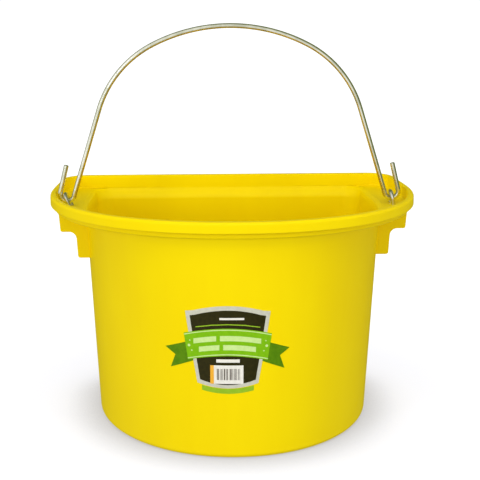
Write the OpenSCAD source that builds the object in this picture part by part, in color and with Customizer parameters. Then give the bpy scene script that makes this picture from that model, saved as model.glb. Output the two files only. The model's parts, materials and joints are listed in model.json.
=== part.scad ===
// Rail-hanging feed bucket: a flat-backed plastic bucket with a loose wire bail.
// The origin is on the floor under the middle of the rim. +Z is up, and the curved
// front faces -Y. The flat back is at +Y. All sizes are in millimetres.

/* [Rim] */
// Width of the rim from side to side
rim_width = 378; // [260:1:480]
// Depth of the rim in front of its widest line
rim_front = 187; // [130:1:240]
// Depth of the rim behind its widest line
rim_back = 98; // [60:1:130]
// Width of the flat top of the rim at the front and back
rim_flange = 9; // [7:0.5:14]
// Height of the turned-down lip
lip_height = 10.5; // [8:0.5:14]
// Radius of the two back corners of the rim
rim_corner = 30; // [15:1:45]

/* [Body] */
// Height from the floor to the top of the rim
bucket_height = 234; // [194:1:320]
// Thickness of the moulded wall
wall = 2.4; // [1.6:0.1:4]
// Thickness of the floor
floor_thickness = 3; // [2:0.5:6]
// Distance from the rim edge in to the wall at the sides, under the rim
side_land = 36.6; // [30:0.2:46]
// Distance from the rim edge in to the wall at the front, under the rim
front_land = 11.4; // [10:0.2:20]
// Distance from the rim edge in to the wall at the back, under the rim
back_land = 13.6; // [12:0.2:20]
// How far the side walls lean in from top to bottom
side_draft = 9.8; // [4:0.2:16]
// How far the front wall leans in from top to bottom
front_draft = 8.2; // [4:0.2:16]
// How far the flat back leans in from top to bottom
back_draft = 7.9; // [4:0.2:16]
// Depth of the ledge at the sides below the top of the rim
ledge_depth = 14.5; // [12:0.5:20]
// Radius of the outer edge of the base
base_edge = 5; // [2:0.5:8]
// Radius where the inside wall meets the floor
floor_fillet = 8; // [4:1:14]

/* [Ears] */
// Distance of the outer face of the ear's upper step in from the rim edge
ear_upper_inset = 13; // [9:0.5:16]
// How far the outer face of the ear's lower step stands out from the top of the wall
ear_lower_step = 6.6; // [4:0.2:10]
// Depth of the upper step below the top of the rim
ear_upper_drop = 35.3; // [28:0.5:42]
// Depth of the lower step below the top of the rim
ear_lower_drop = 62.2; // [50:0.5:80]
// Length of the ear from front to back
ear_length = 56; // [44:1:70]
// Thickness of the ear's front and back cheeks
ear_cheek = 3; // [2:0.5:5]
// Thickness of plastic outside each leg of the eye, in the solid middle of the ear
ear_core_wall = 4; // [2:0.5:6]

/* [Bail] */
// Diameter of the bail wire
bail_wire = 5; // [4:0.1:6]
// Height of the bail's top above the top of the rim, to the middle of the wire
bail_rise = 169; // [120:1:220]
// Distance of the bail's swing line in front of the rim's widest line
bail_forward = 22; // [14:1:30]
// Room between the hook and the ledge under it
hook_ledge_gap = 3.5; // [2:0.1:5]
// Sideways shift of the bail in its eyes, towards -X
bail_shift = 2.5; // [1.5:0.1:2.8]
// Angle that each half of the top arc covers
arch_angle = 27; // [24:1:30]
// Radius of the shoulders of the arch
shoulder_radius = 110; // [95:1:125]
// Angle that the straight strands splay outwards
strand_splay = 17.4; // [15:0.2:20]
// Gap between the inside of the hook and the top of the eye
hook_eye_gap = 2.7; // [2:0.1:3.5]
// Height of the hook's tip above the top of the rim
hook_rise = 28.7; // [16:0.5:36]
// Angle that the hook's free leg leans inwards
hook_lean = 14; // [10:1:18]

/* [Wire eyes] */
// Diameter of the wire of the eyes
eye_wire = 4; // [3:0.1:5]
// Distance of each eye's foot in from the rim edge
eye_inset = 22; // [21:0.5:23]
// Clearance between the bail wire and each leg of the eye
eye_leg_gap = 3.7; // [3:0.1:5]
// How far the legs run down into the ear
eye_sink = 17; // [10:1:18]
// Lean of the left eye towards -X
left_eye_lean = 24; // [16:1:28]
// Lean of the right eye towards -X
right_eye_lean = 10; // [0:1:14]

/* [Label] */
// Width of the shield at its top
label_width = 79; // [60:1:100]
// Height of the shield
label_height = 80; // [60:1:88]
// Height of the shield's middle above the floor
label_z = 112; // [90:1:120]
// Distance of the label's middle from the middle of the bucket, towards -X
label_side = 12; // [0:0.5:20]
// Thickness of the printed film
film = 0.3; // [0.2:0.05:0.6]

/* [Hidden] */

// The rim's widest line, measured from the middle of the rim's depth
axis_y = (rim_front - rim_back) / 2;
half_width = rim_width / 2;
rim_z = bucket_height;
ledge_z = rim_z - ledge_depth;
swing_y = axis_y - bail_forward;
swing_z = ledge_z + hook_ledge_gap + bail_wire / 2;
// The hook bends round the top of the eye, and the eye's legs stand clear of it on both sides
hook_radius = bail_wire / 2 + hook_eye_gap + eye_wire / 2;
eye_x = half_width - eye_inset;
eye_span = bail_wire + 2 * eye_leg_gap + eye_wire;
eye_rise = swing_z + hook_radius - ledge_z;
ear_upper_x = half_width - ear_upper_inset;
ear_lower_x = half_width - side_land + ear_lower_step;

// A small gap that keeps touching pieces from sharing a face
fit_gap = 0.05;
// Clearance round an eye's leg in its hole
leg_gap = 0.1;
// How far the middle of the hook stands outside the eye's foot
hook_side = 1.2;

// Fullness of the curved front: 2 is an ellipse, more is squarer
rim_fullness = 2.15;
wall_fullness = 2.2;
base_fullness = 2.03;
// Corner radii of the wall at the back, and how much narrower the back is
wall_corner = 22;
back_taper = 3;
// The rim is narrower at the sides than at the front by this share
side_share = 0.667;

// Steps along the curved front and round each back corner
front_steps = 46;
corner_steps = 6;

// ---- plans and lofts ----

// A plan is [half width, front depth, back depth, fullness, corner radius]
rim_plan = [half_width, rim_front, rim_back, rim_fullness, rim_corner];
wall_top = [half_width - side_land, rim_front - front_land, rim_back - back_land,
    wall_fullness, wall_corner];
wall_foot = [wall_top[0] - side_draft, wall_top[1] - front_draft, wall_top[2] - back_draft,
    base_fullness, wall_corner];

// The plan of the rim moved in by a distance
function rim_in(inset) = [rim_plan[0] - inset * side_share, rim_plan[1] - inset,
    rim_plan[2] - inset, rim_fullness, rim_corner - inset];
// Any plan moved in by the same distance all round
function plan_in(p, inset) = [p[0] - inset, p[1] - inset, p[2] - inset, p[3],
    max(p[4] - inset, 2)];
function blend(a, b, t) = a + (b - a) * t;
// Two plans blended, with one share each for the sides, the front and the back
function blend_plan(a, b, side, front, back) = [blend(a[0], b[0], side),
    blend(a[1], b[1], front), blend(a[2], b[2], back), blend(a[3], b[3], side),
    blend(a[4], b[4], back)];

// Height where the drafted wall starts under the rim's shoulder
wall_top_z = ledge_z - 13.5;
function wall_plan(z, inset = 0) =
    plan_in(blend_plan(wall_foot, wall_top, z / wall_top_z, z / wall_top_z, z / wall_top_z), inset);

function signed_power(v, e) = sign(v) * pow(abs(v), e);

// One closed ring of points round a plan, clockwise from above
function ring(p, z) = let (w = p[0], d = p[1], b = p[2], e = 2 / p[3], r = p[4], wb = w - back_taper)
    [
        for (i = [0:front_steps]) let (a = 180 * i / front_steps)
            [w * signed_power(cos(a), e), axis_y - d * signed_power(sin(a), e), z],
        for (i = [0:corner_steps]) let (a = 180 - 90 * i / corner_steps)
            [-wb + r + r * cos(a), axis_y + b - r + r * sin(a), z],
        for (i = [0:corner_steps]) let (a = 90 - 90 * i / corner_steps)
            [wb - r + r * cos(a), axis_y + b - r + r * sin(a), z]
    ];
ring_points = front_steps + 1 + 2 * (corner_steps + 1);

// A closed solid through a list of [plan, height] stations
module loft(stations) {
    n = ring_points;
    last = len(stations) - 1;
    points = [for (s = stations) each ring(s[0], s[1])];
    sides = [for (j = [0:last - 1], i = [0:n - 1]) let (k = (i + 1) % n)
        each [[j * n + i, j * n + k, (j + 1) * n + k], [j * n + i, (j + 1) * n + k, (j + 1) * n + i]]];
    bottom = [for (i = [n - 1:-1:0]) i];
    top = [for (i = [0:n - 1]) last * n + i];
    polyhedron(points, concat([bottom], sides, [top]), convexity = 6);
}

// ---- bucket ----

// The shoulder from the rim's collar to the wall, as [drop below the ledge, side share,
// front share, back share]. The sides step in flat and early, and the back slopes in late.
shoulder = [[-1.6, 0, 0, 0], [-0.8, 0.07, 0.1, 0], [0, 0.82, 0.4, 0.05], [2, 0.95, 0.6, 0.15],
    [6, 0.99, 0.85, 0.65], [9.5, 1, 1, 1]];

// Heights of the rings on the wall, the same on the bucket and on the label's film
wall_levels = [base_edge, label_z - 0.62 * label_height, label_z - 0.2 * label_height,
    label_z + 0.2 * label_height, label_z + 0.62 * label_height];

module outer_solid() {
    collar = rim_in(rim_flange - wall);
    under_z = ledge_z - wall;
    loft(concat(
        // rounded edge of the base
        [for (i = [0:4]) let (a = 90 * i / 4)
            [wall_plan(0, base_edge * (1 - sin(a))), base_edge * (1 - cos(a))]],
        [for (z = wall_levels) if (z > base_edge) [wall_plan(z), z]],
        // shoulder, from the wall out to the collar
        [for (i = [len(shoulder) - 1:-1:0]) let (s = shoulder[i])
            [blend_plan(collar, wall_plan(wall_top_z), s[1], s[2], s[3]), under_z - s[0]]],
        // collar, and the groove behind the lip
        [[collar, rim_z - wall], [rim_in(wall), rim_z - wall - 0.2], [rim_in(wall - 0.3), rim_z - wall - 1.4]],
        // lip
        [[rim_in(wall - 0.3), rim_z - lip_height + 1.1], [rim_in(wall - 0.9), rim_z - lip_height + 0.2],
         [rim_in(0.9), rim_z - lip_height], [rim_in(0.2), rim_z - lip_height + 0.8],
         [rim_in(0), rim_z - lip_height + 2.2], [rim_in(0), rim_z - 3.4], [rim_in(0.35), rim_z - 1.9],
         [rim_in(1.1), rim_z - 0.8], [rim_in(2.3), rim_z - 0.15], [rim_in(3.4), rim_z]]));
}

module cavity() {
    opening = rim_in(rim_flange);
    inner_top = wall_plan(wall_top_z, wall);
    floor_z = floor_thickness;
    loft(concat(
        // fillet between the floor and the wall
        [for (i = [0:4]) let (a = 90 * i / 4)
            [wall_plan(floor_z, wall + floor_fillet * (1 - sin(a))), floor_z + floor_fillet * (1 - cos(a))]],
        [for (z = wall_levels) if (z > floor_z + floor_fillet) [wall_plan(z, wall), z]],
        [for (i = [len(shoulder) - 1:-1:0]) let (s = shoulder[i])
            [blend_plan(opening, inner_top, s[1], s[2], s[3]), ledge_z - s[0]]],
        // rounded edge of the opening
        [[opening, rim_z - 1.2], [rim_in(rim_flange - 0.35), rim_z - 0.35],
         [rim_in(rim_flange - 1.2), rim_z], [rim_in(rim_flange - 1.2), rim_z + 1]]));
}

// The ear's outline from the front: two steps with a hollow curve between them
module ear_profile() {
    r = 7;
    corner = 2;
    lean = 1.5;
    upper_z = rim_z - ear_upper_drop;
    lower_z = rim_z - ear_lower_drop;
    polygon(concat(
        [[half_width - side_land - wall - 3, ledge_z - wall / 2],
         [ear_upper_x + lean, ledge_z - wall / 2]],
        [for (a = [0:-30:-90])
            [ear_upper_x - corner + corner * cos(a), upper_z + corner + corner * sin(a)]],
        [for (a = [90:15:180])
            [ear_lower_x + lean + r + r * cos(a), upper_z - r + r * sin(a)]],
        [for (a = [0:-30:-90])
            [ear_lower_x - corner + corner * cos(a), lower_z + corner + corner * sin(a)]],
        [[half_width - side_land - side_draft - 3, lower_z]]));
}

// An ear is two cheeks and a solid core, all of the same outline
module ear(side) {
    core = eye_span + eye_wire + 2 * ear_core_wall;
    slabs = [[-ear_length / 2, ear_cheek], [-core / 2, core], [ear_length / 2 - ear_cheek, ear_cheek]];
    for (s = slabs)
        translate([0, swing_y + s[0] + s[1], 0]) rotate([90, 0, 0]) linear_extrude(s[1])
            if (side > 0) ear_profile(); else mirror([1, 0]) ear_profile();
}

// The holes in an ear's core for the two legs of its wire eye, which lean as the eye does
module leg_holes(side, lean) {
    for (y = [-1, 1])
        translate([side * eye_x, swing_y + y * eye_span / 2, ledge_z])
            rotate([0, -lean, 0]) translate([0, 0, -eye_sink])
                cylinder(d = eye_wire + 2 * leg_gap, h = eye_sink + 4, $fn = 32);
}

module bucket() {
    color([0.96, 0.80, 0.02])
    difference() {
        union() {
            outer_solid();
            ear(1);
            ear(-1);
        }
        cavity();
        leg_holes(1, right_eye_lean);
        leg_holes(-1, left_eye_lean);
    }
}

// ---- bail ----

// The middle line of the right half of the bail, in the plane of the bail: an arc at the top,
// a shoulder, a straight strand that splays outwards, the hook and its free leg
arch_rise = rim_z + bail_rise - swing_z;
hook_center = [eye_x + hook_side, hook_radius];
strand_foot = hook_center - hook_radius * [cos(strand_splay), sin(strand_splay)];
// The arc's radius is the one at which the strand meets the shoulder without a kink
arch_radius = (strand_foot[0] - shoulder_radius * (cos(strand_splay) - sin(arch_angle))
        - (arch_rise - strand_foot[1] - shoulder_radius * (cos(arch_angle) - sin(strand_splay))) * tan(strand_splay))
    / (sin(arch_angle) - (1 - cos(arch_angle)) * tan(strand_splay));
arch_center = [0, arch_rise - arch_radius];
shoulder_center = arch_center + (arch_radius - shoulder_radius) * [sin(arch_angle), cos(arch_angle)];
hook_start = hook_center + hook_radius * [cos(hook_lean), sin(hook_lean)];
hook_up = [-sin(hook_lean), cos(hook_lean)];
hook_length = (rim_z + hook_rise - swing_z - hook_start[1]) / cos(hook_lean);
end_chamfer = 0.6;

// The path's stations are [x, height, heading]
function arc_path(center, radius, from, to, steps) = [for (i = [0:steps])
    let (a = from + (to - from) * i / steps, turn = to > from ? 90 : -90)
    [center[0] + radius * cos(a), center[1] + radius * sin(a), a + turn]];
function tip_path(along) = let (p = hook_start + hook_up * along) [p[0], p[1], 90 + hook_lean];

half_path = concat(
    arc_path(arch_center, arch_radius, 90, 90 - arch_angle, 8),
    arc_path(shoulder_center, shoulder_radius, 90 - arch_angle - 4, strand_splay, 10),
    arc_path(hook_center, hook_radius, 180 + strand_splay, 360 + hook_lean, 14),
    [tip_path(hook_length - end_chamfer), tip_path(hook_length)]);
bail_path = concat(
    [for (i = [len(half_path) - 1:-1:1]) let (p = half_path[i]) [-p[0], p[1], -p[2]]],
    half_path);

// Round wire along a path of [x, z, heading], with a small chamfer on each cut end
module wire(path, d) {
    sides = 16;
    last = len(path) - 1;
    points = [for (j = [0:last], i = [0:sides - 1])
        let (p = path[j], a = 360 * i / sides, r = (j == 0 || j == last) ? d / 2 - end_chamfer : d / 2)
        [p[0] - r * sin(p[2]) * cos(a), r * sin(a), p[1] + r * cos(p[2]) * cos(a)]];
    skin = [for (j = [0:last - 1], i = [0:sides - 1]) let (k = (i + 1) % sides)
        [j * sides + i, j * sides + k, (j + 1) * sides + k, (j + 1) * sides + i]];
    polyhedron(points, concat([[for (i = [sides - 1:-1:0]) i]], skin,
        [[for (i = [0:sides - 1]) last * sides + i]]), convexity = 6);
}

module bail() {
    color([0.78, 0.79, 0.80])
    translate([-bail_shift, swing_y, swing_z]) wire(bail_path, bail_wire);
}

// ---- wire eyes ----

// An upturned U of wire that leans towards -X, with its straight legs sunk in the ear
module eye(lean) {
    leg = eye_rise / cos(lean) - eye_span / 2;
    rotate([0, -lean, 0]) {
        for (y = [-1, 1]) translate([0, y * eye_span / 2, fit_gap - eye_sink])
            cylinder(d = eye_wire, h = eye_sink + leg - fit_gap, $fn = 32);
        translate([0, 0, leg]) rotate([90, 0, 90]) rotate_extrude(angle = 180, $fn = 64)
            translate([eye_span / 2, 0]) circle(d = eye_wire, $fn = 32);
    }
}

module left_eye() {
    color([0.74, 0.75, 0.76])
    translate([-eye_x, swing_y, ledge_z]) eye(left_eye_lean);
}

module right_eye() {
    color([0.74, 0.75, 0.76])
    translate([eye_x, swing_y, ledge_z]) eye(right_eye_lean);
}

// ---- label ----

// The skin that lies on the front of the wall between two distances from it
module wall_skin(near, far) {
    levels = [for (z = wall_levels) if (z > base_edge) z];
    low = levels[0];
    high = levels[len(levels) - 1];
    difference() {
        loft([for (z = levels) [wall_plan(z, -far), z]]);
        loft(concat([[wall_plan(low, -near), low - 1]], [for (z = levels) [wall_plan(z, -near), z]],
            [[wall_plan(high, -near), high + 1]]));
    }
}

// The shield's outline: a bowed top, straight sides that draw in, and a bowed foot
module shield() {
    w = label_width / 2;
    h = label_height / 2;
    foot = 0.72 * w;
    bow = 6;
    polygon(concat(
        [for (i = [0:8]) let (t = i / 4 - 1) [w * t, h - bow * t * t]],
        [for (i = [0:8]) let (t = 1 - i / 4) [foot * t, -h + bow * t * t]]));
}

// The ribbon across the shield: an arched band with a forked tail at each end
module ribbon() {
    w = label_width / 2 + 2.5;
    band = 26;
    tail = 18;
    polygon(concat(
        [for (i = [0:8]) let (t = i / 4 - 1) [w * t, band / 2 + 2 - 5 * t * t]],
        [[w + tail, -5], [w + tail - 10, -band / 2], [w + tail - 5, -band - 1], [w - 4, -band / 2 - 6]],
        [for (i = [0:8]) let (t = 1 - i / 4) [(w - 4) * t, -band / 2 + 1 - 5 * t * t]],
        [[-w + 4, -band / 2 - 6], [-w - tail + 5, -band - 1], [-w - tail + 10, -band / 2], [-w - tail, -5]]));
}

// An outline pushed into the front of the bucket
module pressed(depth) {
    translate([-label_side, axis_y - rim_front + depth, label_z]) rotate([90, 0, 0])
        linear_extrude(depth) children();
}

module label() {
    color([0.10, 0.09, 0.08])
    intersection() {
        wall_skin(fit_gap, fit_gap + film);
        pressed(60) union() {
            shield();
            translate([0, 2]) ribbon();
            translate([-26, -label_height / 2 - 5]) square([52, 7]);
        }
    }
}

module barcode_sticker() {
    color([0.95, 0.95, 0.93])
    intersection() {
        wall_skin(2 * fit_gap + film, 2 * fit_gap + 2 * film);
        pressed(60) translate([-17, -label_height / 2 + 5]) square([32, 19]);
    }
}

bucket();
bail();
left_eye();
right_eye();
label();
barcode_sticker();
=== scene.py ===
# Flat-backed feed bucket: the looks and the studio round the CAD frame.
# Sizes in the dictionaries are millimetres unless a note says otherwise.
import json
import math
import bpy
import bmesh
from mathutils import Matrix, Vector


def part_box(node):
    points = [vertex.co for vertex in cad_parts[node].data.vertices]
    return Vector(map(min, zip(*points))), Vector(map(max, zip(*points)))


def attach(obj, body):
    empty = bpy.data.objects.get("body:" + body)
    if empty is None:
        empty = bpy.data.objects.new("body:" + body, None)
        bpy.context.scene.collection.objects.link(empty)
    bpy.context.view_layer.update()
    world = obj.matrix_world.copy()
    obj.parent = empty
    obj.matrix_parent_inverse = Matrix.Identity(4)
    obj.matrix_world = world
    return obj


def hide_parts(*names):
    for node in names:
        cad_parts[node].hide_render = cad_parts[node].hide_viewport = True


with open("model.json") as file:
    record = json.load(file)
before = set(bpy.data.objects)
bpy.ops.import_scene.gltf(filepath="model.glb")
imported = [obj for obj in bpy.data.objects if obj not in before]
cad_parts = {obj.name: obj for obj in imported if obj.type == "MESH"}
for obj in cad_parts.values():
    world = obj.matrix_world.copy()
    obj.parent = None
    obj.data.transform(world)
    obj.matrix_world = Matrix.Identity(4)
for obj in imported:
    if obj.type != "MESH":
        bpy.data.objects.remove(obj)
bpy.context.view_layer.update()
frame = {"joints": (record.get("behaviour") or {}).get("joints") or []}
mm = 0.001

bucketLow, bucketHigh = [[c / mm for c in corner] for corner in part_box("bucket")]
swing = [c / mm for c in frame["joints"][0]["pos_m"]]
print("frame loaded, bucket top at", bucketHigh[2])


class shaderValue:
    # a socket that can be used in sums: each operation adds its Math node
    def __init__(self, graph, socket):
        self.graph = graph
        self.socket = socket

    def math(self, operation, first, second):
        return self.graph.add("ShaderNodeMath", {"operation": operation}, {0: first, 1: second})

    def __add__(self, other):
        return self.math("ADD", self, other)

    def __radd__(self, other):
        return self.math("ADD", other, self)

    def __sub__(self, other):
        return self.math("SUBTRACT", self, other)

    def __rsub__(self, other):
        return self.math("SUBTRACT", other, self)

    def __mul__(self, other):
        return self.math("MULTIPLY", self, other)

    def __rmul__(self, other):
        return self.math("MULTIPLY", other, self)


class shaderGraph:
    def __init__(self, tree):
        self.tree = tree
        tree.nodes.clear()

    def add(self, kind, settings=None, values=None, out=0):
        node = self.tree.nodes.new(kind)
        for name, value in (settings or {}).items():
            setattr(node, name, value)
        for name, value in (values or {}).items():
            if isinstance(value, shaderValue):
                self.tree.links.new(value.socket, node.inputs[name])
            else:
                node.inputs[name].default_value = value
        if not node.outputs:
            return node
        return shaderValue(self, node.outputs[out])

    def noise(self, place, scale, detail=3.0, roughness=0.5):
        return self.add("ShaderNodeTexNoise", {}, {"Vector": place, "Scale": scale, "Detail": detail,
                                                   "Roughness": roughness})

    def mixColor(self, factor, first, second):
        return self.add("ShaderNodeMix", {"data_type": "RGBA"}, {0: factor, 6: first, 7: second}, out=2)

    def smooth(self, value, low, high, toLow=0.0, toHigh=1.0):
        return self.add("ShaderNodeMapRange", {"interpolation_type": "SMOOTHSTEP"},
                        {0: value, 1: low, 2: high, 3: toLow, 4: toHigh})


def newMaterial(name):
    material = bpy.data.materials.new(name)
    material.use_nodes = True
    return material, shaderGraph(material.node_tree)


def rgb(r, g, b):
    # a colour as screens show it, 0 to 255, turned into the linear light that shaders use
    linear = [((c / 255 + 0.055) / 1.055) ** 2.4 if c > 10 else c / 255 / 12.92 for c in (r, g, b)]
    return (*linear, 1.0)


plasticLook = {
    "color": rgb(246, 219, 0), "thinColor": rgb(244, 215, 0), "roughness": 0.36, "grain": 0.04,
    "specular": 0.08,
}


def yellowPlastic():
    material, graph = newMaterial("yellowPlastic")
    place = graph.add("ShaderNodeTexCoord", out=3)
    # slow clouds in the pigment, and faint upright streaks where the melt ran up the wall
    clouds = graph.noise(place, 9.0, 2.0)
    stretched = graph.add("ShaderNodeMapping", {}, {"Vector": place, "Scale": (1, 1, 0.12)})
    streaks = graph.noise(stretched, 55.0, 3.0)
    tone = graph.smooth(clouds * 0.65 + streaks * 0.35, 0.36, 0.64)
    color = graph.mixColor(tone, plasticLook["thinColor"], plasticLook["color"])
    # the mould's surface: fine grain, a little orange peel, and handling marks that dull the gloss
    grain = graph.noise(place, 1500.0, 2.0)
    peel = graph.noise(place, 130.0, 2.0)
    marks = graph.smooth(graph.noise(place, 38.0, 5.0, 0.65), 0.52, 0.72)
    roughness = plasticLook["roughness"] + marks * 0.06 + (grain - 0.5) * plasticLook["grain"]
    bump = graph.add("ShaderNodeBump", {}, {"Strength": 0.05, "Distance": 0.0006,
                                            "Height": grain * 0.25 + peel * 0.75})
    surface = graph.add("ShaderNodeBsdfPrincipled", {}, {
        "Base Color": color, "Roughness": roughness, "Normal": bump,
        "Specular IOR Level": plasticLook["specular"]})
    graph.add("ShaderNodeOutputMaterial", {}, {"Surface": surface})
    return material


def zincWire(name, bright, dull, roughness):
    material, graph = newMaterial(name)
    place = graph.add("ShaderNodeTexCoord", out=3)
    # plated drawn wire: dull patches in the zinc, fine drawing marks and a few scuffs
    patches = graph.smooth(graph.noise(place, 70.0, 4.0, 0.6), 0.38, 0.66)
    scuffs = graph.smooth(graph.noise(place, 420.0, 3.0, 0.7), 0.58, 0.72)
    fine = graph.noise(place, 2600.0, 1.0)
    color = graph.mixColor(patches, bright, dull)
    color = graph.mixColor(scuffs * 0.15, color, rgb(150, 152, 150))
    bump = graph.add("ShaderNodeBump", {}, {"Strength": 0.03, "Distance": 0.0002,
                                            "Height": fine * 0.4 + scuffs * 0.6})
    surface = graph.add("ShaderNodeBsdfPrincipled", {}, {
        "Base Color": color, "Metallic": 1.0, "Roughness": roughness + patches * 0.1 + scuffs * 0.08,
        "Normal": bump})
    graph.add("ShaderNodeOutputMaterial", {}, {"Surface": surface})
    return material


def printedFilm(name, color, shade, roughness=0.38):
    # ink on a vinyl film: a slight mottle in the ink and a satin face
    material, graph = newMaterial(name)
    place = graph.add("ShaderNodeTexCoord", out=3)
    mottle = graph.smooth(graph.noise(place, 260.0, 4.0, 0.6), 0.35, 0.65)
    speckle = graph.noise(place, 3200.0, 1.0)
    bump = graph.add("ShaderNodeBump", {}, {"Strength": 0.06, "Distance": 0.0002, "Height": speckle})
    surface = graph.add("ShaderNodeBsdfPrincipled", {}, {
        "Base Color": graph.mixColor(mottle, shade, color), "Specular IOR Level": 0.12,
        "Roughness": roughness + (speckle - 0.5) * 0.08, "Normal": bump})
    graph.add("ShaderNodeOutputMaterial", {}, {"Surface": surface})
    return material


def finishPiece(bm, name, material, body, node, flatFaces=True):
    # a bmesh built in millimetres becomes a piece in metres that rides on its body
    bmesh.ops.scale(bm, vec=(mm, mm, mm), verts=bm.verts)
    mesh = bpy.data.meshes.new(name)
    bm.to_mesh(mesh)
    bm.free()
    mesh.polygons.foreach_set("use_smooth", [True] * len(mesh.polygons))
    piece = bpy.data.objects.new(name, mesh)
    bpy.context.scene.collection.objects.link(piece)
    mesh.materials.append(material)
    if flatFaces:
        weighted = piece.modifiers.new("flatFaces", "WEIGHTED_NORMAL")
        weighted.weight = 100
        weighted.keep_sharp = True
    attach(piece, body)
    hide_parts(node)
    print(name, len(mesh.polygons), "faces")
    return piece


def extrudeEdges(bm, edges):
    # pulls a loop out into a new row of faces; gives the new loop's points and edges
    made = bmesh.ops.extrude_edge_only(bm, edges=edges)["geom"]
    points = [g for g in made if isinstance(g, bmesh.types.BMVert)]
    fresh = set(points)
    loop = [g for g in made if isinstance(g, bmesh.types.BMEdge) and all(v in fresh for v in g.verts)]
    return points, loop


def blend(a, b, share):
    return a + (b - a) * share


shell = {
    "widestLine": 44.5,       # the rim's widest line, behind the middle of its depth
    "flange": 9, "sideShare": 0.667, "lip": 10.5, "rimCorner": 30, "rimFullness": 2.15,
    "wall": 2.4, "floor": 3,
    "sideLand": 36.6, "frontLand": 11.4, "backLand": 13.6,
    "sideDraft": 9.8, "frontDraft": 8.2, "backDraft": 7.9,
    "wallFullness": 2.2, "baseFullness": 2.03, "wallCorner": 22, "backTaper": 3,
    "ledge": 14.5, "wallTop": 13.5,   # the drafted wall starts this far below the ledge
    "baseEdge": 5, "floorFillet": 8, "footWidth": 7, "footRecess": 1,
}
# the shoulder from the collar in to the wall:
# [drop below the ledge, side share, front share, back share, rounding]
shoulder = [[-1.6, 0, 0, 0, 0.5], [-0.8, 0.07, 0.1, 0, 0.3], [0, 0.82, 0.4, 0.05, 0.8],
            [2, 0.95, 0.6, 0.15, 0.9], [6, 0.99, 0.85, 0.65, 1.2], [9.5, 1, 1, 1, 2.0]]
# steps round one ring: the curved front, each side, each back corner, the straight back
steps = {"front": 96, "side": 10, "corner": 14, "back": 36}

rimTop = bucketHigh[2]
ledgeZ = rimTop - shell["ledge"]
wallTopZ = ledgeZ - shell["wallTop"]
halfWidth = bucketHigh[0]
frontDepth = shell["widestLine"] - bucketLow[1]
backDepth = bucketHigh[1] - shell["widestLine"]
rimPlan = [halfWidth, frontDepth, backDepth, shell["rimFullness"], shell["rimCorner"]]
wallTopPlan = [halfWidth - shell["sideLand"], frontDepth - shell["frontLand"],
               backDepth - shell["backLand"], shell["wallFullness"], shell["wallCorner"]]
wallFootPlan = [wallTopPlan[0] - shell["sideDraft"], wallTopPlan[1] - shell["frontDraft"],
                wallTopPlan[2] - shell["backDraft"], shell["baseFullness"], shell["wallCorner"]]


def rimIn(inset):
    w, d, b, fullness, corner = rimPlan
    return [w - inset * shell["sideShare"], d - inset, b - inset, fullness, corner - inset]


def planIn(plan, inset):
    w, d, b, fullness, corner = plan
    return [w - inset, d - inset, b - inset, fullness, max(corner - inset, 2)]


def blendPlan(a, b, side, front, back):
    shares = [side, front, back, side, back]
    return [blend(x, y, s) for x, y, s in zip(a, b, shares)]


def wallPlan(z, inset=0.0):
    share = z / wallTopZ
    return planIn(blendPlan(wallFootPlan, wallTopPlan, share, share, share), inset)


def planPoint(plan, step):
    # one point of a D-shaped plan, counted round from the +X side by way of the front
    w, d, b, fullness, corner = plan
    backHalf = w - shell["backTaper"]
    y0 = shell["widestLine"]
    if step <= steps["front"]:
        turn = math.pi * step / steps["front"]
        reach = (abs(math.cos(turn)) ** fullness + abs(math.sin(turn)) ** fullness) ** (-1 / fullness)
        return w * math.cos(turn) * reach, y0 - d * math.sin(turn) * reach
    step -= steps["front"]
    half = steps["side"] + steps["corner"] + steps["back"] / 2
    mirrored = step > half
    if mirrored:
        step = 2 * half - step
    if step <= steps["side"]:
        t = step / steps["side"]
        x, y = -w + shell["backTaper"] * (3 * t * t - 2 * t ** 3), y0 + (b - corner) * t
    elif step <= steps["side"] + steps["corner"]:
        turn = math.pi / 2 * (step - steps["side"]) / steps["corner"]
        x, y = -backHalf + corner - corner * math.cos(turn), y0 + b - corner + corner * math.sin(turn)
    else:
        t = (step - steps["side"] - steps["corner"]) / (steps["back"] / 2)
        x, y = (corner - backHalf) * (1 - t), y0 + b
    return (-x if mirrored else x), y


def shellStations():
    # [plan, height, rounding] from the middle of the underside, round the lip, to the floor inside
    wall = shell["wall"]
    underZ = ledgeZ - wall
    collar = rimIn(shell["flange"] - wall)
    opening = rimIn(shell["flange"])
    foot = wallPlan(0)
    inside = wallPlan(wallTopZ, wall)
    wallRows = [0.1, 0.25, 0.4, 0.55, 0.7, 0.85]
    rows = [[planIn(foot, shell["baseEdge"] + shell["footWidth"] + 1.5), shell["footRecess"], 0.4],
            [planIn(foot, shell["baseEdge"] + shell["footWidth"]), 0, 0.4],
            [foot, 0, shell["baseEdge"]]]
    rows += [[wallPlan(wallTopZ * share), wallTopZ * share, 0] for share in wallRows]
    for drop, side, front, back, rounding in reversed(shoulder):
        rows.append([blendPlan(collar, wallPlan(wallTopZ), side, front, back), underZ - drop, rounding])
    rows += [[collar, rimTop - wall, 0.8], [rimIn(wall), rimTop - wall, 0.8],
             [rimIn(wall - 0.3), rimTop - shell["lip"], 0.45], [rimIn(0), rimTop - shell["lip"], 0.8],
             [rimIn(0), rimTop, 3.0], [opening, rimTop, 1.2]]
    for drop, side, front, back, rounding in shoulder:
        rows.append([blendPlan(opening, inside, side, front, back), ledgeZ - drop, rounding])
    rows += [[wallPlan(wallTopZ * share, wall), wallTopZ * share, 0] for share in reversed(wallRows)]
    rows.append([wallPlan(shell["floor"], wall), shell["floor"], shell["floorFillet"]])
    rows.append([wallPlan(shell["floor"], wall + 30), shell["floor"], 0])
    return rows


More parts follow.
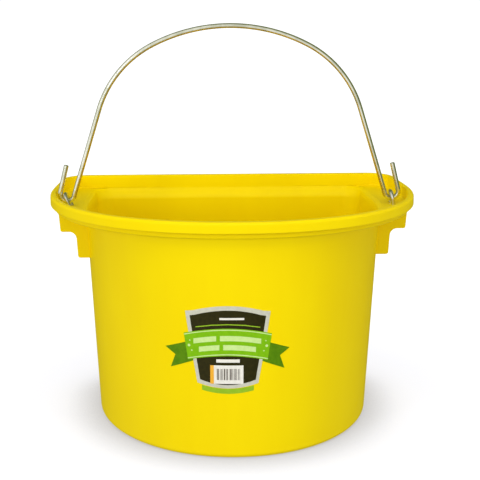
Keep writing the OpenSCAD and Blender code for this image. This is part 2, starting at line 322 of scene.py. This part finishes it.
def buildShell():
    bm = bmesh.new()
    count = steps["front"] + 2 * (steps["side"] + steps["corner"]) + steps["back"]
    place = bm.verts.layers.int.new("place")
    row = bm.edges.layers.int.new("row")
    circle = bmesh.ops.create_circle(bm, cap_ends=False, radius=1, segments=count)["verts"]
    for i, v in enumerate(circle):
        v[place] = i
    points, loop = circle, list(bm.edges)
    stations = shellStations()
    for number, (plan, z, rounding) in enumerate(stations):
        if number:
            points, loop = extrudeEdges(bm, loop)
        for v in points:
            v.co = Vector((*planPoint(plan, v[place]), z))
        for e in loop:
            e[row] = number + 1
        if number in (0, len(stations) - 1):
            bmesh.ops.contextual_create(bm, geom=loop)
    bmesh.ops.recalc_face_normals(bm, faces=bm.faces)
    for number, (plan, z, rounding) in enumerate(stations):
        if not rounding:
            continue
        ring = [e for e in bm.edges if e[row] == number + 1
                and all(abs(v.co.z - z) < 0.02 for v in e.verts)]
        bmesh.ops.bevel(bm, geom=ring, offset=rounding, offset_type="OFFSET", affect="EDGES",
                        profile=0.5, segments=6 if rounding > 2 else 3, clamp_overlap=False,
                        material=-1)
    bmesh.ops.recalc_face_normals(bm, faces=bm.faces)
    return bm


ear = {
    "upperInset": 13, "lowerStep": 6.6, "upperDrop": 35.3, "lowerDrop": 62.2,
    "length": 56, "cheek": 3, "core": 30, "lean": 1.5, "hollow": 7, "corner": 2, "edge": 0.5,
    "bendDrop": 8.5, "bend": 4.7,     # where the inner side starts to bend out, and how far it gets
}


def wallSide(y, z):
    # how far out the side of the wall stands at a depth and height
    w, d, b, fullness, corner = wallPlan(min(z, wallTopZ))
    ahead = shell["widestLine"] - y
    if ahead <= 0:
        return w
    return w * (1 - (ahead / d) ** fullness) ** (1 / fullness)


def buildEar(side):
    # the ear is two cheeks and a core: one stepped outline, pushed to three thicknesses
    bm = bmesh.new()
    topZ = ledgeZ - shell["wall"] / 2
    upperX = halfWidth - ear["upperInset"]
    lowerX = halfWidth - shell["sideLand"] + ear["lowerStep"]
    innerX = wallFootPlan[0] - 6
    upperZ = rimTop - ear["upperDrop"]
    lowerZ = rimTop - ear["lowerDrop"]
    outline = [(innerX, topZ, 0), (upperX + ear["lean"], topZ, 0), (upperX, upperZ, ear["corner"]),
               (lowerX + ear["lean"], upperZ, ear["hollow"]), (lowerX, lowerZ, ear["corner"]),
               (innerX, lowerZ, 0)]
    slabs = [(-ear["length"] / 2, ear["cheek"]), (-ear["core"] / 2, ear["core"]),
             (ear["length"] / 2 - ear["cheek"], ear["cheek"])]
    for start, thick in slabs:
        points = [bm.verts.new((x, swing[1] + start, z)) for x, z, rounding in outline]
        bm.faces.new(points)
        for v, (x, z, rounding) in zip(points, outline):
            if rounding:
                bmesh.ops.bevel(bm, geom=[v], offset=rounding, offset_type="OFFSET", affect="VERTICES",
                                segments=6, profile=0.5, clamp_overlap=False, material=-1)
        face = max((f for f in bm.faces if abs(f.calc_center_median().y - swing[1] - start) < 0.01),
                   key=lambda f: f.calc_area())
        made = bmesh.ops.extrude_face_region(bm, geom=[face])["geom"]
        moved = [g for g in made if isinstance(g, bmesh.types.BMVert)]
        bmesh.ops.translate(bm, vec=(0, thick, 0), verts=moved)
    bmesh.ops.recalc_face_normals(bm, faces=bm.faces)
    rim = [e for e in bm.edges if len(e.link_faces) == 2 and e.calc_face_angle(0) > 1.2
           and all(v.co.x > wallSide(v.co.y, v.co.z) for v in e.verts)
           and abs(e.verts[0].co.y - e.verts[1].co.y) < 0.01]
    bmesh.ops.bevel(bm, geom=rim, offset=ear["edge"], offset_type="OFFSET", affect="EDGES", segments=2,
                    profile=0.5, clamp_overlap=False, material=-1)
    for k in range(1, 5):
        cut = swing[1] - ear["core"] / 2 + ear["core"] * k / 5
        bmesh.ops.bisect_plane(bm, geom=bm.verts[:] + bm.edges[:] + bm.faces[:], plane_co=(0, cut, 0),
                               plane_no=(0, 1, 0))
    for drop in (4, ear["bendDrop"]):
        bmesh.ops.bisect_plane(bm, geom=bm.verts[:] + bm.edges[:] + bm.faces[:],
                               plane_co=(0, 0, ledgeZ - drop), plane_no=(0, 0, 1))
    # the inner side follows the wall's curve and stays inside its thickness, and at the top it
    # bends out under the ledge as the wall does
    for v in bm.verts:
        climb = max(0, v.co.z - (ledgeZ - ear["bendDrop"])) / (ear["bendDrop"] - shell["wall"] / 2)
        inner = wallSide(v.co.y, v.co.z) - shell["wall"] / 2 + ear["bend"] * climb ** 2
        v.co.x = max(v.co.x, inner)
    if side < 0:
        bmesh.ops.scale(bm, vec=(-1, 1, 1), verts=bm.verts)
    bmesh.ops.recalc_face_normals(bm, faces=bm.faces)
    return bm


bail = {
    "wire": 5, "rise": 169, "archAngle": 27, "shoulderRadius": 110, "splay": 17.4,
    "hookEyeGap": 2.7, "hookSide": 1.2, "hookRise": 28.7, "hookLean": 14, "endRound": 0.6, "sides": 24,
}
eye = {
    "wire": 4, "inset": 22, "legGap": 3.7, "ledgeGap": 3.5, "sink": 6, "leftLean": 24, "rightLean": 10,
    "sides": 20,
}
eyeX = halfWidth - eye["inset"]
hookRadius = bail["wire"] / 2 + bail["hookEyeGap"] + eye["wire"] / 2


def turnLoop(bm, loop, center, degrees, count):
    # sweeps a wire's open end round a bend; a positive turn runs from +Z towards +X
    made = bmesh.ops.spin(bm, geom=loop, cent=center, axis=(0, 1, 0), dvec=(0, 0, 0),
                          angle=math.radians(degrees), steps=count, use_merge=False, use_duplicate=False)
    return [g for g in made["geom_last"] if isinstance(g, bmesh.types.BMEdge)]


def pushLoop(bm, loop, vector):
    points, loop = extrudeEdges(bm, loop)
    bmesh.ops.translate(bm, vec=vector, verts=points)
    return loop


def closeEnd(bm, loop, rounding):
    bmesh.ops.contextual_create(bm, geom=loop)
    bmesh.ops.bevel(bm, geom=loop, offset=rounding, offset_type="OFFSET", affect="EDGES", segments=3,
                    profile=0.5, clamp_overlap=False, material=-1)


def buildBail():
    bm = bmesh.new()
    splay, arch, lean = (math.radians(bail[k]) for k in ("splay", "archAngle", "hookLean"))
    rise = rimTop + bail["rise"] - swing[2]
    hookX = eyeX + bail["hookSide"]
    footX = hookX - hookRadius * math.cos(splay)
    footZ = hookRadius - hookRadius * math.sin(splay)
    r2 = bail["shoulderRadius"]
    # the arch's radius is the one at which the strand meets the shoulder without a kink
    r1 = (footX - r2 * (math.cos(splay) - math.sin(arch))
          - (rise - footZ - r2 * (math.cos(arch) - math.sin(splay))) * math.tan(splay)) \
        / (math.sin(arch) - (1 - math.cos(arch)) * math.tan(splay))
    archCenter = Vector((0, 0, rise - r1))
    shoulderCenter = archCenter + (r1 - r2) * Vector((math.sin(arch), 0, math.cos(arch)))
    strandTopZ = shoulderCenter.z + r2 * math.sin(splay)
    strandLength = (strandTopZ - footZ) / math.cos(splay)
    hookCenter = Vector((hookX, 0, hookRadius))
    hookStart = hookCenter + hookRadius * Vector((math.cos(lean), 0, math.sin(lean)))
    hookLength = (rimTop + bail["hookRise"] - swing[2] - hookStart.z) / math.cos(lean)

    matrix = Matrix.Translation((0, 0, rise)) @ Matrix.Rotation(math.pi / 2, 4, "Y")
    bmesh.ops.create_circle(bm, cap_ends=False, radius=bail["wire"] / 2, segments=bail["sides"],
                            matrix=matrix)
    loop = list(bm.edges)
    loop = turnLoop(bm, loop, archCenter, bail["archAngle"], 20)
    loop = turnLoop(bm, loop, shoulderCenter, 90 - bail["archAngle"] - bail["splay"], 26)
    for k in range(4):
        loop = pushLoop(bm, loop, strandLength / 4 * Vector((math.sin(splay), 0, -math.cos(splay))))
    loop = turnLoop(bm, loop, hookCenter, -(180 - bail["splay"] + bail["hookLean"]), 24)
    loop = pushLoop(bm, loop, hookLength * Vector((-math.sin(lean), 0, math.cos(lean))))
    closeEnd(bm, loop, bail["endRound"])
    bmesh.ops.mirror(bm, geom=bm.verts[:] + bm.edges[:] + bm.faces[:], axis="X", merge_dist=0.01)
    bmesh.ops.remove_doubles(bm, verts=bm.verts, dist=0.001)
    bmesh.ops.recalc_face_normals(bm, faces=bm.faces)
    bmesh.ops.translate(bm, vec=swing, verts=bm.verts)
    return bm


def buildEye(side, lean):
    # an upturned U of wire: one leg up, over the loop, down the other leg, then the whole leans
    bm = bmesh.new()
    span = bail["wire"] + 2 * eye["legGap"] + eye["wire"]
    rise = eye["ledgeGap"] + bail["wire"] / 2 + hookRadius
    leg = rise / math.cos(math.radians(lean)) - span / 2
    bmesh.ops.create_circle(bm, cap_ends=False, radius=eye["wire"] / 2, segments=eye["sides"],
                            matrix=Matrix.Translation((-span / 2, 0, -eye["sink"])))
    loop = list(bm.edges)
    bmesh.ops.contextual_create(bm, geom=loop)
    for k in range(2):
        loop = pushLoop(bm, loop, (0, 0, (leg + eye["sink"]) / 2))
    loop = turnLoop(bm, loop, (0, 0, leg), 180, 28)
    for k in range(2):
        loop = pushLoop(bm, loop, (0, 0, -(leg + eye["sink"]) / 2))
    bmesh.ops.contextual_create(bm, geom=loop)
    bmesh.ops.recalc_face_normals(bm, faces=bm.faces)
    stand = Matrix.Rotation(math.radians(-lean), 4, "Y") @ Matrix.Rotation(math.pi / 2, 4, "Z")
    bmesh.ops.transform(bm, matrix=stand, verts=bm.verts)
    bmesh.ops.translate(bm, vec=(side * eyeX, swing[1], ledgeZ), verts=bm.verts)
    return bm


label = {
    "x": -12, "z": 112,               # the shield's middle on the front wall
    "topHalf": 39.6, "footHalf": 28.6, "top": 36, "crown": 5, "foot": -35, "sag": 5, "edge": 4.2,
    "bandTop": 19.2, "bandFoot": -7.8, "topArch": 5.8, "footArch": 4.9,
    "bandHalf": 41, "bandFootHalf": 37.2,
}


def wallFront(x, z, lift):
    # the front face of the wall, pushed out by a small lift
    w, d, b, fullness, corner = wallPlan(z, -lift)
    return shell["widestLine"] - d * (1 - abs(x / w) ** fullness) ** (1 / fullness)


def filmPatch(bm, outline, low, high):
    # a flat outline becomes a thin closed film that follows the wall
    lift = bm.verts.layers.float.get("lift") or bm.verts.layers.float.new("lift")
    points = [bm.verts.new((label["x"] + x, 0, label["z"] + z)) for x, z in outline]
    island = {bm.faces.new(points)}
    spanX = [p[0] for p in outline]
    spanZ = [p[1] for p in outline]
    cuts = [(Vector((label["x"] + x, 0, 0)), Vector((1, 0, 0))) for x in range(-60, 61, 4)
            if min(spanX) < x < max(spanX)]
    cuts += [(Vector((0, 0, label["z"] + z)), Vector((0, 0, 1))) for z in range(-48, 49, 6)
             if min(spanZ) < z < max(spanZ)]
    for place, direction in cuts:
        edges = {e for f in island for e in f.edges}
        verts = {v for f in island for v in f.verts}
        bmesh.ops.bisect_plane(bm, geom=list(verts | edges | island), dist=0.0001, plane_co=place,
                               plane_no=direction)
        seeds = [points[0]]
        island = set()
        seen = set(seeds)
        while seeds:
            v = seeds.pop()
            for f in v.link_faces:
                island.add(f)
                for other in f.verts:
                    if other not in seen:
                        seen.add(other)
                        seeds.append(other)
    base = {v for f in island for v in f.verts}
    made = bmesh.ops.extrude_face_region(bm, geom=list(island))["geom"]
    raised = {g for g in made if isinstance(g, bmesh.types.BMVert)}
    for v in base | raised:
        v[lift] = high if v in raised else low
        v.co.y = wallFront(v.co.x, v.co.z, v[lift])


def filmPiece(name, outlines, low, high, material, node):
    bm = bmesh.new()
    for outline in outlines:
        filmPatch(bm, outline, low, high)
    bmesh.ops.recalc_face_normals(bm, faces=bm.faces)
    piece = finishPiece(bm, name, material, "bucket_body", node, flatFaces=False)
    for polygon in piece.data.polygons:
        polygon.use_smooth = False
    return piece


def shieldOutline(inset):
    # a crowned top between two short shoulders, sides that draw in, and a sagging foot
    top = label["topHalf"] - inset
    foot = label["footHalf"] - inset * 0.6
    shoulderX = top - 7 + inset * 0.6
    high = label["top"] - inset
    low = label["foot"] + inset * 0.8
    crown = [(shoulderX * t, high + label["crown"] * (1 - t * t))
             for t in [k / 8 - 1 for k in range(17)]]
    right = [(top, high - 0.8), (blend(top, foot, 0.5) + 0.3, (high + low) / 2), (foot, low)]
    sag = [(foot * t, low - label["sag"] * (1 - t * t)) for t in [1 - k / 6 for k in range(1, 12)]]
    left = [(-x, z) for x, z in reversed(right)]
    return crown + right + sag + left


def bandOutline(low, high):
    # a strip of the arched ribbon between two heights of it, 0 at its foot and 1 at its top
    def edge(share, direction):
        half = blend(label["bandFootHalf"], label["bandHalf"], share)
        z = blend(label["bandFoot"], label["bandTop"], share)
        arch = blend(label["footArch"], label["topArch"], share)
        return [(half * t, z - arch * t * t)
                for t in [direction * (k / 10 - 1) for k in range(21)]]
    return edge(high, 1) + edge(low, -1)


def bandBar(x0, x1, low, high):
    # a plain printed bar that follows the ribbon's arch
    half = blend(label["bandFootHalf"], label["bandHalf"], (low + high) / 2)
    across = [blend(x0, x1, k / 4) for k in range(5)]

    def rowAt(share, xs):
        z = blend(label["bandFoot"], label["bandTop"], share)
        arch = blend(label["footArch"], label["topArch"], share)
        return [(x, z - arch * (x / half) ** 2) for x in xs]
    return rowAt(high, across) + rowAt(low, reversed(across))


def rectangle(x0, z0, x1, z1):
    return [(x0, z0), (x1, z0), (x1, z1), (x0, z1)]


def dot(x, z, radius):
    turns = [k * math.pi / 6 for k in range(12)]
    return [(x + radius * math.cos(turn), z + radius * math.sin(turn)) for turn in turns]


def buildLabel():
    silver = printedFilm("labelSilver", rgb(204, 203, 186), rgb(196, 195, 178), 0.3)
    dark = printedFilm("labelDark", rgb(45, 41, 8), rgb(38, 35, 6))
    green = printedFilm("ribbonGreen", rgb(128, 188, 16), rgb(120, 182, 12))
    pale = printedFilm("ribbonPale", rgb(206, 234, 150), rgb(198, 228, 140))
    deep = printedFilm("ribbonDeep", rgb(90, 136, 6), rgb(80, 126, 4))
    leaf = printedFilm("stripGreen", rgb(150, 190, 44), rgb(142, 183, 38))
    white = printedFilm("stickerWhite", rgb(238, 235, 224), rgb(230, 227, 216))
    ink = printedFilm("stickerInk", rgb(110, 102, 94), rgb(96, 88, 80))
    orange = printedFilm("stickerOrange", rgb(244, 182, 62), rgb(238, 174, 54))

    # each forked tail runs out from behind the ribbon's end
    tail = [(38, 5), (label["bandHalf"] - 0.5, 4.2), (58.2, -2), (49, -9), (53.4, -22), (31, -12.8),
            (31, 5)]
    strip = [(24.3 * t, -37.2 - 3.2 * (1 - t * t)) for t in [k / 5 - 1 for k in range(11)]] \
        + [(24.3 * t, -42.2 - 3.2 * (1 - t * t)) for t in [1 - k / 5 for k in range(11)]]
    filmPiece("labelTails", [tail, [(-x, z) for x, z in reversed(tail)]], 0.05, 0.16, deep,
              "label")
    filmPiece("labelFootStrip", [strip], 0.05, 0.16, leaf, "label")
    filmPiece("labelBorder", [shieldOutline(0)], 0.10, 0.22, silver, "label")
    filmPiece("labelField", [shieldOutline(label["edge"])], 0.20, 0.25, dark, "label")
    filmPiece("labelRibbon", [bandOutline(0, 1)], 0.22, 0.29, green, "label")
    # thin pale lines along the ribbon, and plain bars where such labels carry words
    lines = [bandOutline(0.93, 0.965), bandOutline(0.035, 0.07)]
    bars = [bandBar(-32, -11, 0.55, 0.74), bandBar(-7.5, 31, 0.55, 0.74),
            bandBar(-27, -8, 0.22, 0.41), bandBar(-4.5, 26, 0.22, 0.41)]
    dots = [dot(side * x, z, radius) for side in (-1, 1)
            for x, z, radius in ((36.2, 1.6, 1.3), (35.4, 6.6, 0.7), (33.6, -3.2, 0.7))]
    filmPiece("labelPrint", lines + bars + dots, 0.27, 0.32, pale, "label")
    marks = [rectangle(-8, 27.6, 15, 29.6), rectangle(-11, -14.2, 11, -11.0)]
    filmPiece("labelMarks", marks, 0.23, 0.28, white, "label")
    filmPiece("labelRule", [bandBar(-30, 30, 1.13, 1.165)], 0.23, 0.28, leaf, "label")

    filmPiece("barcodePanel", [rectangle(-16.6, -35.4, 14.4, -17)], 0.30, 0.40, white,
              "barcode_sticker")
    filmPiece("barcodeStripe", [rectangle(-16.6, -35.4, -13.2, -17)], 0.38, 0.43, orange,
              "barcode_sticker")
    widths = [0.8, 0.4, 1.2, 0.4, 0.6, 1.0, 0.4, 0.8, 1.4, 0.4, 0.6]
    inked, x = [], -10.4
    for k in range(16):
        width = widths[k * 7 % len(widths)]
        inked.append(rectangle(x, -31.6, x + width, -20.4))
        x += width + 0.35 + 0.35 * (k * 5 % 3)
    filmPiece("barcodeBars", inked, 0.38, 0.42, ink, "barcode_sticker")


studio = {
    "distance": 1.17757, "height": 0.20095, "side": 0.00851,   # of the lens from the rim, metres
    "pitch": 12.33, "yaw": 3.12, "lens": 84.75,
    "floor": (0.27, 0.275, 0.32, 1), "nearPaper": 0.2, "farPaper": 0.55, "contact": 0.06,
    # the next colour is the grey of the painted contact shadow on the paper under the bucket
    "paintedShadowGlow": (0.4, 0.4, 0.42, 1), "nearGlow": (0.78, 0.78, 0.79, 1), "farGlow": (1, 1, 1, 1),
    "horizon": (0.5, 0.5, 0.5, 1), "zenith": (0.6, 0.6, 0.6, 1), "backdrop": (1.05, 1.05, 1.05, 1),
    "shadeSide": (0.16, 0.19, 0.05, 1), "lightSide": (1.0, 1.0, 0.96, 1),
    "lightWay": (-0.6, -0.78, 0.18),  # towards the bright side of the room
}


def buildCamera():
    aim = Vector((0, shell["widestLine"], rimTop)) * mm
    turn = Matrix.Rotation(math.radians(-studio["yaw"]), 4, "Z")
    place = aim + turn @ Vector((studio["side"], -studio["distance"], studio["height"]))
    data = bpy.data.cameras.new("camera")
    data.lens = studio["lens"]
    data.sensor_width = 36
    camera = bpy.data.objects.new("camera", data)
    camera.matrix_world = Matrix.Translation(place) @ turn \
        @ Matrix.Rotation(math.radians(90 - studio["pitch"]), 4, "X")
    bpy.context.scene.collection.objects.link(camera)
    bpy.context.scene.camera = camera


def softLight(name, place, target, size, power, mirrored=True):
    data = bpy.data.lights.new(name, "AREA")
    data.shape = "RECTANGLE"
    data.size, data.size_y = size
    data.energy = power
    light = bpy.data.objects.new(name, data)
    light.location = place
    light.visible_glossy = mirrored
    light.rotation_euler = (Vector(target) - Vector(place)).to_track_quat("-Z", "Y").to_euler()
    bpy.context.scene.collection.objects.link(light)


def buildStudio():
    bm = bmesh.new()
    bmesh.ops.create_grid(bm, x_segments=8, y_segments=8, size=40)
    mesh = bpy.data.meshes.new("floor")
    bm.to_mesh(mesh)
    bm.free()
    floor = bpy.data.objects.new("floor", mesh)
    # white paper that glows a little more with distance, so that it runs into a white horizon,
    # and a painted contact shadow: the glow drops to a grey where the bucket stands close over it
    material, graph = newMaterial("paper")
    place = graph.add("ShaderNodeTexCoord", out=3)
    away = graph.add("ShaderNodeVectorMath", {"operation": "LENGTH"}, {0: place}, out=1)
    glow = graph.mixColor(graph.smooth(away, studio["nearPaper"], studio["farPaper"]),
                          studio["nearGlow"], studio["farGlow"])
    # painted contact shadow: ambient occlusion turns the paper's glow towards a grey near the bucket's
    # base
    clear = graph.add("ShaderNodeAmbientOcclusion", {"samples": 8}, {"Distance": studio["contact"]},
                      out=1)
    glow = graph.mixColor(graph.smooth(clear, 0.4, 1.0), studio["paintedShadowGlow"], glow)
    surface = graph.add("ShaderNodeBsdfPrincipled", {}, {
        "Base Color": studio["floor"], "Roughness": 0.9, "Specular IOR Level": 0.0,
        "Emission Color": glow, "Emission Strength": 1.0})
    graph.add("ShaderNodeOutputMaterial", {}, {"Surface": surface})
    mesh.materials.append(material)
    bpy.context.scene.collection.objects.link(floor)
    floor.visible_glossy = False     # the paper glows for the lens, and doesn't light the bucket
    floor.visible_diffuse = False

    world = bpy.data.worlds.new("sky")
    world.use_nodes = True
    bpy.context.scene.world = world
    sky = shaderGraph(world.node_tree)
    # the lens sees a white backdrop and the wire mirrors a bright room; what lights the plastic
    # is dimmer, and brighter overhead than at the horizon
    seen = sky.add("ShaderNodeLightPath")
    mirrored = sky.add("ShaderNodeLightPath", out=3)
    way = sky.add("ShaderNodeTexCoord")
    upward = sky.add("ShaderNodeSeparateXYZ", {}, {0: way}, out=2)
    leftward = sky.add("ShaderNodeVectorMath", {"operation": "DOT_PRODUCT"},
                       {0: way, 1: studio["lightWay"]}, out=1)
    room = sky.mixColor(sky.smooth(upward, -0.1, 0.9), studio["horizon"], studio["zenith"])
    shine = sky.mixColor(sky.smooth(leftward, 0.1, 0.8), studio["shadeSide"], studio["lightSide"])
    color = sky.mixColor(seen, sky.mixColor(mirrored, room, shine), studio["backdrop"])
    background = sky.add("ShaderNodeBackground", {}, {"Color": color, "Strength": 1.0})
    sky.add("ShaderNodeOutputWorld", {}, {"Surface": background})

    softLight("topPanel", (0, -1.1, 1.8), (0, 0, 0.2), (1.4, 1.0), 10, mirrored=False)
    softLight("leftPanel", (-1.5, -1.6, 0.6), (0, 0, 0.12), (0.4, 0.7), 16, mirrored=False)
    softLight("glint", (-1.1, -1.9, 0.8), (0, 0, 0.2), (0.3, 0.6), 2.5)
    softLight("rightPanel", (1.5, -1.5, 0.55), (0, 0, 0.12), (0.5, 0.7), 11, mirrored=False)
    view = bpy.context.scene.view_settings
    view.view_transform = "Standard"
    view.look = "None"
    view.exposure = 0.0


yellow = yellowPlastic()
bailMetal = zincWire("bailZinc", rgb(236, 236, 224), rgb(208, 210, 192), 0.24)
eyeMetal = zincWire("eyeZinc", rgb(228, 229, 224), rgb(196, 198, 194), 0.28)
finishPiece(buildShell(), "bucketShell", yellow, "bucket_body", "bucket")
finishPiece(buildEar(-1), "leftEar", yellow, "bucket_body", "bucket")
finishPiece(buildEar(1), "rightEar", yellow, "bucket_body", "bucket")
finishPiece(buildBail(), "bailWire", bailMetal, "bail_body", "bail", flatFaces=False)
finishPiece(buildEye(-1, eye["leftLean"]), "leftEyeWire", eyeMetal, "bucket_body",
            "left_eye", flatFaces=False)
finishPiece(buildEye(1, eye["rightLean"]), "rightEyeWire", eyeMetal, "bucket_body",
            "right_eye", flatFaces=False)
buildLabel()
buildStudio()
buildCamera()
print("pieces and studio built")
